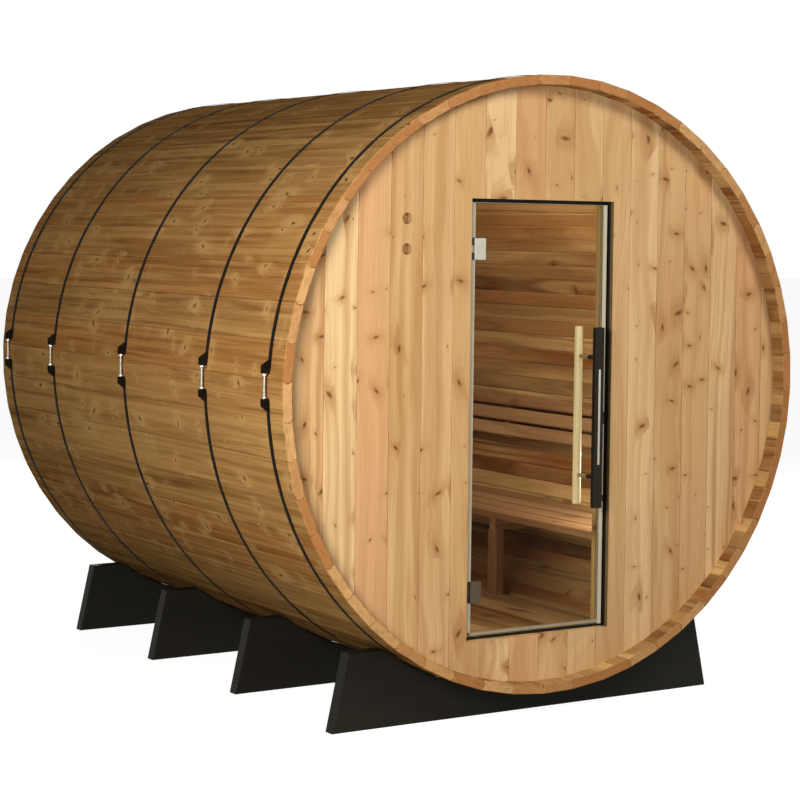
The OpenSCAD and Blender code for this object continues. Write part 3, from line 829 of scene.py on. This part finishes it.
# Gasket: black foam rubber strips are glued in the doorway. The glass closes in front of
# those along its head and sill, and beside the one down its latch side. In front of that
# one a thin dark brown strip covers the reveal's wood: painted shade, where the reveal lies in
# shadow.


def plate(stock, box, round_over=0.0004, along="y", slot=0):
    """A flat plate that fills a box, given as two places on x, two on y and two on z. It has
    round corners and eased rims."""
    low, high = np.array(box, float).reshape(3, 2).T
    stock.add(bar(low, high, round_over, plate_ease, along, 4)[0], slot=slot)


def black_rubber():
    """Black foam rubber: matt, dusty in patches, with a fine skin."""
    s = Shader("black_rubber")
    dust = s.own_noise((30, 30, 12), 3)
    skin = s.own_noise((1400, 1400, 1400), 2)
    s.finish(Base_Color=s.blend(s.step(dust, 0.45, 0.8), srgb(22, 18, 13), srgb(44, 36, 27)))
    s.finish(Roughness=s.step(dust, 0.3, 0.7, 0.6, 0.8), Specular_IOR_Level=0.2)
    s.finish(Normal=s.bump(skin, 0.0003, 0.5))
    return s


def reveal_shade_strip():
    """A thin dark brown strip, painted shade for the reveal's wood in shadow, with lengthways lines
    and a little dust.
    """
    s = Shader("painted_reveal_shade")
    line = s.own_noise((900, 900, 9), 3)
    dust = s.own_noise((30, 30, 12), 3)
    brown = s.blend(s.step(dust, 0.4, 0.8), srgb(104, 82, 50), srgb(120, 98, 64))
    s.finish(Base_Color=s.blend(s.step(line, 0.5, 0.8, 0, 0.4), brown, srgb(58, 44, 26)))
    s.finish(Roughness=s.step(dust, 0.3, 0.7, 0.55, 0.7), Specular_IOR_Level=0.1)
    return s


rubber = black_rubber()
plate_ease = 0.0006
gasket_t, gasket_w, gasket_h, gasket_fit = 0.0025, 0.005, 0.0125, 0.0002
shade_strip_t, shade_strip_w, shade_strip_back = 0.0022, 0.015, 0.0008
reveal_y = wall_low[1] + shade_strip_w
stop_y = casing_low[1] - gasket_w
strip_end = door_right - gasket_t - gasket_fit
gasket = Stock()
plate(gasket, (door_right - gasket_t, door_right, reveal_y, casing_low[1], door_sill, door_top))
# The second plate, over the front of the latch-side reveal, is a dark brown strip of painted shade.
plate(gasket, (door_right - shade_strip_t, door_right, wall_low[1] + shade_strip_back, reveal_y - gasket_fit,
               door_sill, door_top), slot=1)
for low, high in ((door_top - gasket_h, door_top), (door_sill, door_sill + gasket_h)):
    plate(gasket, (door_left, strip_end, stop_y, casing_low[1], low, high))
gasket.make("door_gasket", "cabin", rubber, reveal_shade_strip())

# Hinges: two steel glass hinges. The lower one's plates are painted darker, a painted reflection
# of the dark ground, and the leaves with their outer knuckles are painted dark as painted shade.
# A leaf is screwed to the doorway's edge, and two plates on its pin clamp the glass through a
# notch.


def brushed_steel(name, deep, pale, smoothest, roughest, **settings):
    """Steel plate with fine upright brushing, a soft shine and faint smears."""
    s = Shader(name)
    brush = s.own_noise((3000, 3000, 40), 3)
    smear = s.own_noise((40, 40, 25), 3)
    uneven = s.math("ADD", brush, smear)
    s.finish(Base_Color=s.blend(smear, deep, pale), **settings)
    s.finish(Roughness=s.step(uneven, 0.6, 1.4, smoothest, roughest))
    s.finish(Normal=s.bump(brush, 0.00005, 0.4))
    return s


def shade_dark_steel():
    """Dark steel, a little blotched: painted shade on the hinge leaves and their outer knuckles,
    which lie in shadow.
    """
    s = Shader("painted_shade_steel")
    blotch = s.own_noise((90, 90, 90), 3)
    s.finish(Base_Color=s.blend(blotch, srgb(30, 26, 20), srgb(58, 52, 42)))
    s.finish(Metallic=0.3, Roughness=s.step(blotch, 0.3, 0.7, 0.4, 0.55))
    return s


leaf_low, leaf_high = span("hinge_leaves")
clamp_right = span("door_clamps")[1][0]
glass_low, glass_high = span("door_glass")
hinge_h, leaf_t, leaf_round = 0.073, 0.003, 0.004
knuckle_r, knuckle_ease, knuckle_gap = 0.0055, 0.0006, 0.0003
clamp_t, clamp_w, clamp_round = 0.005, 0.044, 0.0035
web, arm_t, arm_lap, pin_inset = 0.004, 0.006, 0.001, 0.016
pin_x = door_left + pin_inset
pin_y = (glass_low[1] + glass_high[1]) / 2
clamp_x = clamp_right - clamp_w
hinge_zs = (leaf_low[2] + hinge_h / 2, leaf_high[2] - hinge_h / 2)
screw_z, screw_sunk, leaf_screw_r = 0.02, 0.0011, 0.0035
clamp_screw_x, leaf_screw_y = clamp_x + 0.03, leaf_low[1] + 0.009
leaves, clamps = Stock(), Stock()


def knuckle(stock, low, high, slot=0):
    """A barrel of the hinge about its pin, with its two rims eased."""
    stations = [(low, knuckle_r - knuckle_ease), (low + knuckle_ease, knuckle_r),
                (high - knuckle_ease, knuckle_r), (high, knuckle_r - knuckle_ease)]
    stock.add(lathe(stations, (pin_x, pin_y, 0), 32), slot=slot)


def arm(stock, x0, x1, low, high, slot=0):
    """The flat arm between a hinge's plate and a knuckle."""
    plate(stock, (x0, x1, pin_y - arm_t / 2, pin_y + arm_t / 2, low, high), slot=slot)


def screw(stock, place, axis, radius=0.0042):
    """A countersunk screw head with a round socket, flush with the plate it holds."""
    rim = [(0, radius), (0.0008, radius), (0.0012, radius - 0.0004)]
    sink = [(0.0012, 0.002), (-0.0006, 0.0018)]
    offset = place["xyz".index(axis)]
    centre = np.array(place, float)
    centre["xyz".index(axis)] = 0
    stations = [(offset + p, r) for p, r in rim + sink]
    stock.add(lathe(stations, centre, 24, axis))


for z in hinge_zs:
    low, high = z - hinge_h / 2, z + hinge_h / 2
    third = hinge_h / 3
    plate(leaves, (door_left, door_left + leaf_t, leaf_low[1], leaf_high[1], low, high),
          leaf_round, "x")
    for part in (low, high - third):
        knuckle(leaves, part, part + third)
        arm(leaves, door_left + leaf_t, pin_x, part, part + third)
    # The lower hinge's clamp parts take the second shader: the same steel painted darker, a painted
    # reflection of the dark ground.
    ground_reflection_slot = int(z == hinge_zs[0])
    middle = low + third + knuckle_gap, high - third - knuckle_gap
    knuckle(clamps, *middle, ground_reflection_slot)
    arm(clamps, pin_x, clamp_x + arm_lap, *middle, ground_reflection_slot)
    for y in (glass_low[1] - clamp_t, glass_high[1]):
        plate(clamps, (clamp_x, clamp_x + clamp_w, y, y + clamp_t, low, high), clamp_round,
              slot=ground_reflection_slot)
    plate(clamps, (clamp_x, clamp_x + web, glass_low[1], glass_high[1], low, high), slot=ground_reflection_slot)
    for part in (z - screw_z, z + screw_z):
        screw(clamps, (clamp_screw_x, glass_high[1] + clamp_t - screw_sunk, part), "y")
        screw(leaves, (door_left + leaf_t - screw_sunk, leaf_screw_y, part), "x", leaf_screw_r)
satin = brushed_steel("satin_steel", srgb(166, 163, 146), srgb(192, 188, 170), 0.32, 0.5,
                      Metallic=0.3)
# Painted reflection: darker steel for the lower hinge's plates, which mirror the dark ground.
ground_reflection_steel = brushed_steel("painted_ground_reflection", srgb(62, 54, 38), srgb(86, 74, 54), 0.35, 0.55,
                          Specular_IOR_Level=0.25)
# The leaves and outer knuckles take dark steel: painted shade, for parts that lie in shadow.
leaves.make("hinge_leaf_plates", "cabin", shade_dark_steel(), replaces=["hinge_leaves"],
            slot="bright_steel")
clamps.make("hinge_clamp_plates", "door", satin, ground_reflection_steel, replaces=["door_clamps"],
            slot="bright_steel")

# Glass: one pane of 8 mm tempered glass is the whole door. Its edges are ground and
# polished, it is notched round the hinges, and the handle's two bolts fill its holes.


def clear_glass():
    """Clear float glass: lets light straight through with a faint green cast. Its mirror
    share is 0.01 face on, plus 0.99 times the fifth power of one less the cosine of the
    angle from the pane's normal, on both of its faces."""
    s = Shader("clear_tempered_glass")
    aslant = s.node("LayerWeight", {"Blend": 0.5}, "Facing")
    mirror = s.math("MULTIPLY_ADD", s.math("POWER", aslant, 5.0), 0.99, 0.01)
    smear = s.own_noise((5, 5, 2.5), 4)
    tint = s.blend(smear, srgb(243, 246, 242), srgb(249, 250, 248))
    through = s.node("BsdfTransparent", {"Color": tint})
    shine = s.node("BsdfGlossy", {"Color": (0.2, 0.2, 0.2, 1), "Roughness": 0.02})
    s.show(s.node("MixShader", {0: mirror, 1: through, 2: shine}))
    return s


def glass_edge():
    """The ground edge, where the pane looks milky."""
    s = Shader("ground_glass_edge")
    grind = s.own_noise((900, 900, 900), 2)
    s.finish(Base_Color=s.blend(grind, srgb(206, 204, 182), srgb(228, 224, 200)), Roughness=0.3)
    return s


handle_low, handle_high = span("handle_outside")
handle_x = (handle_low[0] + handle_high[0]) / 2
handle_z = (handle_low[2] + handle_high[2]) / 2
bolt_reach = 0.211
bolt_zs = (handle_z - bolt_reach, handle_z + bolt_reach)
left, right = glass_low[0], glass_high[0]
notch_x = clamp_x + web
notch_fit = 0.001
notch_reach = hinge_h / 2 + notch_fit
pane_ease = 0.0008
outline = [(left, glass_low[2]), (right, glass_low[2]), (right, glass_high[2]),
           (left, glass_high[2])]
for z in hinge_zs[::-1]:
    outline += [(left, z + notch_reach), (notch_x, z + notch_reach),
                (notch_x, z - notch_reach), (left, z - notch_reach)]
pane = Stock()
loops = prism(outline, eased(glass_low[1], glass_high[1], pane_ease))
pane.add(loops, slot=1, end_slot=0)
pane.make("glass_pane", "door", clear_glass(), glass_edge(), smooth=20,
          replaces=["door_glass"], slot="door_glass")

# Seal: a milky vinyl channel is pushed over the glass's latch edge, and a darker one over
# its bottom edge. Flat vinyl strips are stuck to its face along the hinge side.


def milky_vinyl(name, clean, dusty):
    """Soft clear vinyl that looks milky: a little light comes through, with faint clouds."""
    s = Shader(name)
    cloud = s.own_noise((60, 60, 9), 3)
    s.finish(Base_Color=s.blend(cloud, clean, dusty))
    s.finish(Roughness=0.35, Transmission_Weight=0.15, Specular_IOR_Level=0.5)
    return s


seal_low, seal_high = span("door_seal")
lip = 0.0015
seal_w, sweep_h, sweep_lift = 0.014, 0.009, 0.005
strip_w, strip_lift, strip_gap = 0.0135, 0.016, 0.002
seal = Stock()
x0, x1 = seal_high[0] - lip - seal_w, seal_high[0]
y0, y1 = seal_low[1], seal_high[1]
channel = [(x0, y0), (x1, y0), (x1, y1), (x0, y1), (x0, y1 - lip), (x1 - lip, y1 - lip),
           (x1 - lip, y0 + lip), (x0, y0 + lip)]
seal.add(prism(channel, [(seal_low[2], 0), (seal_high[2], 0)], "xyz"))
z0, z1 = seal_low[2] + sweep_lift, seal_low[2] + sweep_lift + lip + sweep_h
sweep = [(y0, z1), (y0, z0), (y1, z0), (y1, z1), (y1 - lip, z1), (y1 - lip, z0 + lip),
         (y0 + lip, z0 + lip), (y0 + lip, z1)]
seal.add(prism(sweep, [(seal_low[0], 0), (x0, 0)], "yzx"), slot=1)
clear_of_hinge = hinge_h / 2 + strip_gap
strip = [(left, y0), (left + strip_w, y0), (left + strip_w, y0 + lip), (left, y0 + lip)]
for low, high in ((seal_low[2] + strip_lift, hinge_zs[0] - clear_of_hinge),
                  (hinge_zs[0] + clear_of_hinge, hinge_zs[1] - clear_of_hinge),
                  (hinge_zs[1] + clear_of_hinge, seal_high[2])):
    seal.add(prism(strip, [(low, 0), (high, 0)], "xyz"))
vinyl = milky_vinyl("milky_clear_vinyl", srgb(208, 197, 170), srgb(182, 170, 140))
# The bottom channel takes a darker colour than the latch one.
darker_vinyl = milky_vinyl("darker_clear_vinyl", srgb(166, 150, 116), srgb(142, 124, 90))
seal.make("seal_strips", "door", vinyl, darker_vinyl, replaces=["door_seal"], slot="clear_seal")

# Edge clips: two small black plastic clips keep the seal on the glass. They are pushed over
# it on the latch edge, one at the handle's middle and one near its lower end.

clip_w, clip_t, clip_out = 0.0128, 0.0016, 0.0018
clip_edge = x1 + clip_out
clips = Stock()
for z, tall in ((1.02, 0.044), (0.735, 0.022)):
    plate(clips, (clip_edge - clip_w, clip_edge, y0 - clip_t, y1 + clip_t, z - tall / 2,
                  z + tall / 2), 0.001, "x")
clips.make("edge_clips", "door", rubber)

# Handles: a round bar of pale wood inside and a flat dark bar outside share two bolts through
# the glass and stand off it on short posts. The outside bar has a bright strip let into its face: a
# painted reflection.


def turned_wood():
    """Pale turned wood along the bar, lightly oiled."""
    s = Shader("pale_turned_wood")
    lines = s.own_noise((420, 420, 6), 3, 0.6)
    cloud = s.own_noise((40, 40, 5), 3)
    colour = s.blend(cloud, srgb(244, 216, 166), srgb(228, 192, 140))
    s.finish(Base_Color=s.blend(s.step(lines, 0.5, 0.8, 0, 0.5), colour, srgb(186, 144, 94)))
    s.finish(Roughness=s.step(lines, 0.3, 0.7, 0.38, 0.5), Normal=s.bump(lines, 0.0002, 0.3))
    return s


def dark_bar():
    """Black satin bar, with fine lengthways brushing under the coat."""
    s = Shader("dark_satin_bar")
    brush = s.own_noise((1800, 1800, 25), 3)
    s.finish(Base_Color=s.blend(brush, srgb(20, 15, 10), srgb(42, 34, 25)))
    s.finish(Specular_IOR_Level=0.12, Roughness=s.step(brush, 0.3, 0.7, 0.35, 0.5))
    s.finish(Normal=s.bump(brush, 0.0001, 0.3))
    return s


def turned_bronze():
    """Bronze-brown turned posts, with fine rings from the tool."""
    s = Shader("bronze_brown_post")
    turn = s.own_noise((200, 2400, 200), 2)
    s.finish(Base_Color=s.blend(turn, srgb(146, 114, 68), srgb(186, 152, 100)))
    s.finish(Metallic=0.2, Roughness=s.step(turn, 0.3, 0.7, 0.35, 0.5))
    s.finish(Normal=s.bump(turn, 0.0001, 0.4))
    return s


grip_low, grip_high = span("handle_inside")
grip_r, nose_r = 0.015, 0.006
grip_y = grip_high[1] - grip_r
pull_t, pull_round, pull_ease = 0.022, 0.003, 0.0015
pull_y = handle_low[1] + pull_t / 2
flange_r, flange_t, neck_r, waist_r = 0.0085, 0.002, 0.0075, 0.0065
cap_r, stud_r, bolt_r = 0.0055, 0.008, 0.004
glint_w, glint_inset, glint_z0, glint_z1 = 0.009, 0.013, 0.862, 1.196
grip = Stock()
bend = np.linspace(0, math.pi / 2, 6)
nose = nose_r * (1 - np.cos(bend)), nose_r * (1 - np.sin(bend))
upper = np.stack([grip_high[2] - nose[1], grip_r - nose[0]], 1)
lower = np.stack([grip_low[2] + nose[1], grip_r - nose[0]], 1)[::-1]
grip.add(lathe(np.concatenate([lower, upper]), (handle_x, grip_y, 0), 48))
for z in bolt_zs:
    post = [(glass_high[1], flange_r), (glass_high[1] + flange_t, flange_r),
            (glass_high[1] + flange_t + 0.001, neck_r), (grip_y - 0.017, waist_r),
            (grip_y - 0.012, flange_r), (grip_y, flange_r)]
    grip.add(lathe(post, (handle_x, 0, z), 32, "y"), slot=1)
    cap = [(grip_y + grip_r - 0.002, cap_r), (grip_y + grip_r - 0.0004, cap_r),
           (grip_y + grip_r - 0.0001, cap_r - 0.0005)]
    grip.add(lathe(cap, (handle_x, 0, z), 24, "y"), slot=1)
grip.make("inner_grip", "door", turned_wood(), turned_bronze(), replaces=["handle_inside"],
          slot="handle_wood")
pull = Stock()
corners = [(handle_low[0], handle_low[1]), (handle_high[0], handle_low[1]),
           (handle_high[0], handle_low[1] + pull_t), (handle_low[0], handle_low[1] + pull_t)]
pull.add(prism(rounded(corners, pull_round), eased(handle_low[2], handle_high[2], pull_ease),
               "xyz"))
for z in bolt_zs:
    post = [(pull_y + 0.0105, stud_r), (glass_low[1] - 0.002, stud_r),
            (glass_low[1] - 0.001, stud_r - 0.0002), (glass_low[1], stud_r - 0.0002)]
    pull.add(lathe(post, (handle_x, 0, z), 32, "y"))
    bolt = [(glass_low[1] - 0.001, bolt_r), (glass_high[1], bolt_r)]
    pull.add(lathe(bolt, (handle_x, 0, z), 24, "y"), slot=1)
# The bright satin strip on the dark bar's face is a painted reflection.
glint_x = handle_low[0] + glint_inset
plate(pull, (glint_x, glint_x + glint_w, handle_low[1] - 0.0004, handle_low[1] + 0.002, glint_z0,
             glint_z1), 0.001, slot=1)
pull.make("outer_pull", "door", dark_bar(), satin, replaces=["handle_outside"],
          slot="handle_dark")

# Stage: a plain pale floor under a white sky. Soft boxes stand at the left, high at the
# front right and behind, three small lamps light the cabin's inside, and the camera is at
# the front left, at a person's eye height.


def pale_floor():
    """Matt pale floor that the camera sees lit to white, except where a shadow falls."""
    s = Shader("pale_floor")
    rays = s.rays()
    shown = s.math("MAXIMUM", rays["Is Camera Ray"], rays["Is Glossy Ray"])
    matt = s.node("BsdfDiffuse", {"Color": (0.26, 0.26, 0.25, 1)})
    lit = s.math("MULTIPLY", shown, 0.92)
    glow = s.node("Emission", {"Color": (1, 1, 1, 1), "Strength": lit})
    s.show(s.node("AddShader", {0: matt, 1: glow}))
    return s


ground_half = 60
corners = [(x * ground_half, y * ground_half, 0) for x, y in ((-1, -1), (1, -1), (1, 1), (-1, 1))]
ground = bpy.data.meshes.new("ground")
ground.from_pydata(corners, [], [(0, 1, 2, 3)])
ground.materials.append(pale_floor().material)
ground_plane = bpy.data.objects.new("ground", ground)
bpy.context.scene.collection.objects.link(ground_plane)


def lamp(name, place, aim, size, power):
    """A square soft box of a size in metres, pointed from its place at an aim."""
    light = bpy.data.lights.new(name, "AREA")
    light.size = size
    light.energy = power
    box = bpy.data.objects.new(name, light)
    box.location = place
    box.rotation_euler = (Vector(aim) - box.location).to_track_quat("-Z", "Y").to_euler()
    bpy.context.scene.collection.objects.link(box)


lamp("left", (-3.3, -3.4, 1.9), (-1, -0.6, 1.15), 1.2, 150)
lamp("front", (1.7, -5.4, 4.7), (0.2, -1, 1.5), 2.0, 200)
lamp("rear", (2.5, 6.5, 2.0), (0, 1, 1.1), 2.5, 260)
lamp("ceiling", (0.0, -0.3, 1.98), (1.0, 0.2, 1.4), 0.4, 13.5)
lamp("bench", (0.8, -1.0, 0.76), (0.58, -0.82, 0.57), 0.08, 12)
lamp("low", (-0.5, -0.92, 0.62), (0.85, 0.1, 0.4), 0.12, 1.9)

world = bpy.data.worlds.new("studio")
bpy.context.scene.world = world
world.use_nodes = True
sky = Nodes(world.node_tree)
rays = sky.rays()
mirrored = sky.math("MAXIMUM", rays["Is Glossy Ray"], rays["Is Transmission Ray"])
shown = sky.math("MAXIMUM", rays["Is Camera Ray"], mirrored)
level = sky.node("MapRange", {"Value": shown, "To Min": 0.1, "To Max": 1.0})
backdrop = world.node_tree.nodes["Background"]
sky.plug(backdrop.inputs["Color"], (1, 1, 1, 1))
sky.plug(backdrop.inputs["Strength"], level)

camera = bpy.data.cameras.new("camera")
camera.lens = 95.97
camera.shift_x, camera.shift_y = -0.1, -0.1
view = bpy.data.objects.new("camera", camera)
bpy.context.scene.collection.objects.link(view)
view.location = (-4.2571, -7.1853, 1.666)
heading, pitch, roll = 0.5831, -0.0406, 0.0142
ahead = np.array([math.sin(heading) * math.cos(pitch), math.cos(heading) * math.cos(pitch),
                  math.sin(pitch)])
level_right = np.cross(ahead, (0, 0, 1))
level_right /= np.linalg.norm(level_right)
level_up = np.cross(level_right, ahead)
right_way = level_right * math.cos(roll) + level_up * math.sin(roll)
up_way = level_up * math.cos(roll) - level_right * math.sin(roll)
turned = Matrix(np.stack([right_way, up_way, -ahead], 1).tolist())
view.rotation_euler = turned.to_euler()
bpy.context.scene.camera = view
bpy.context.scene.view_settings.view_transform = "Standard"
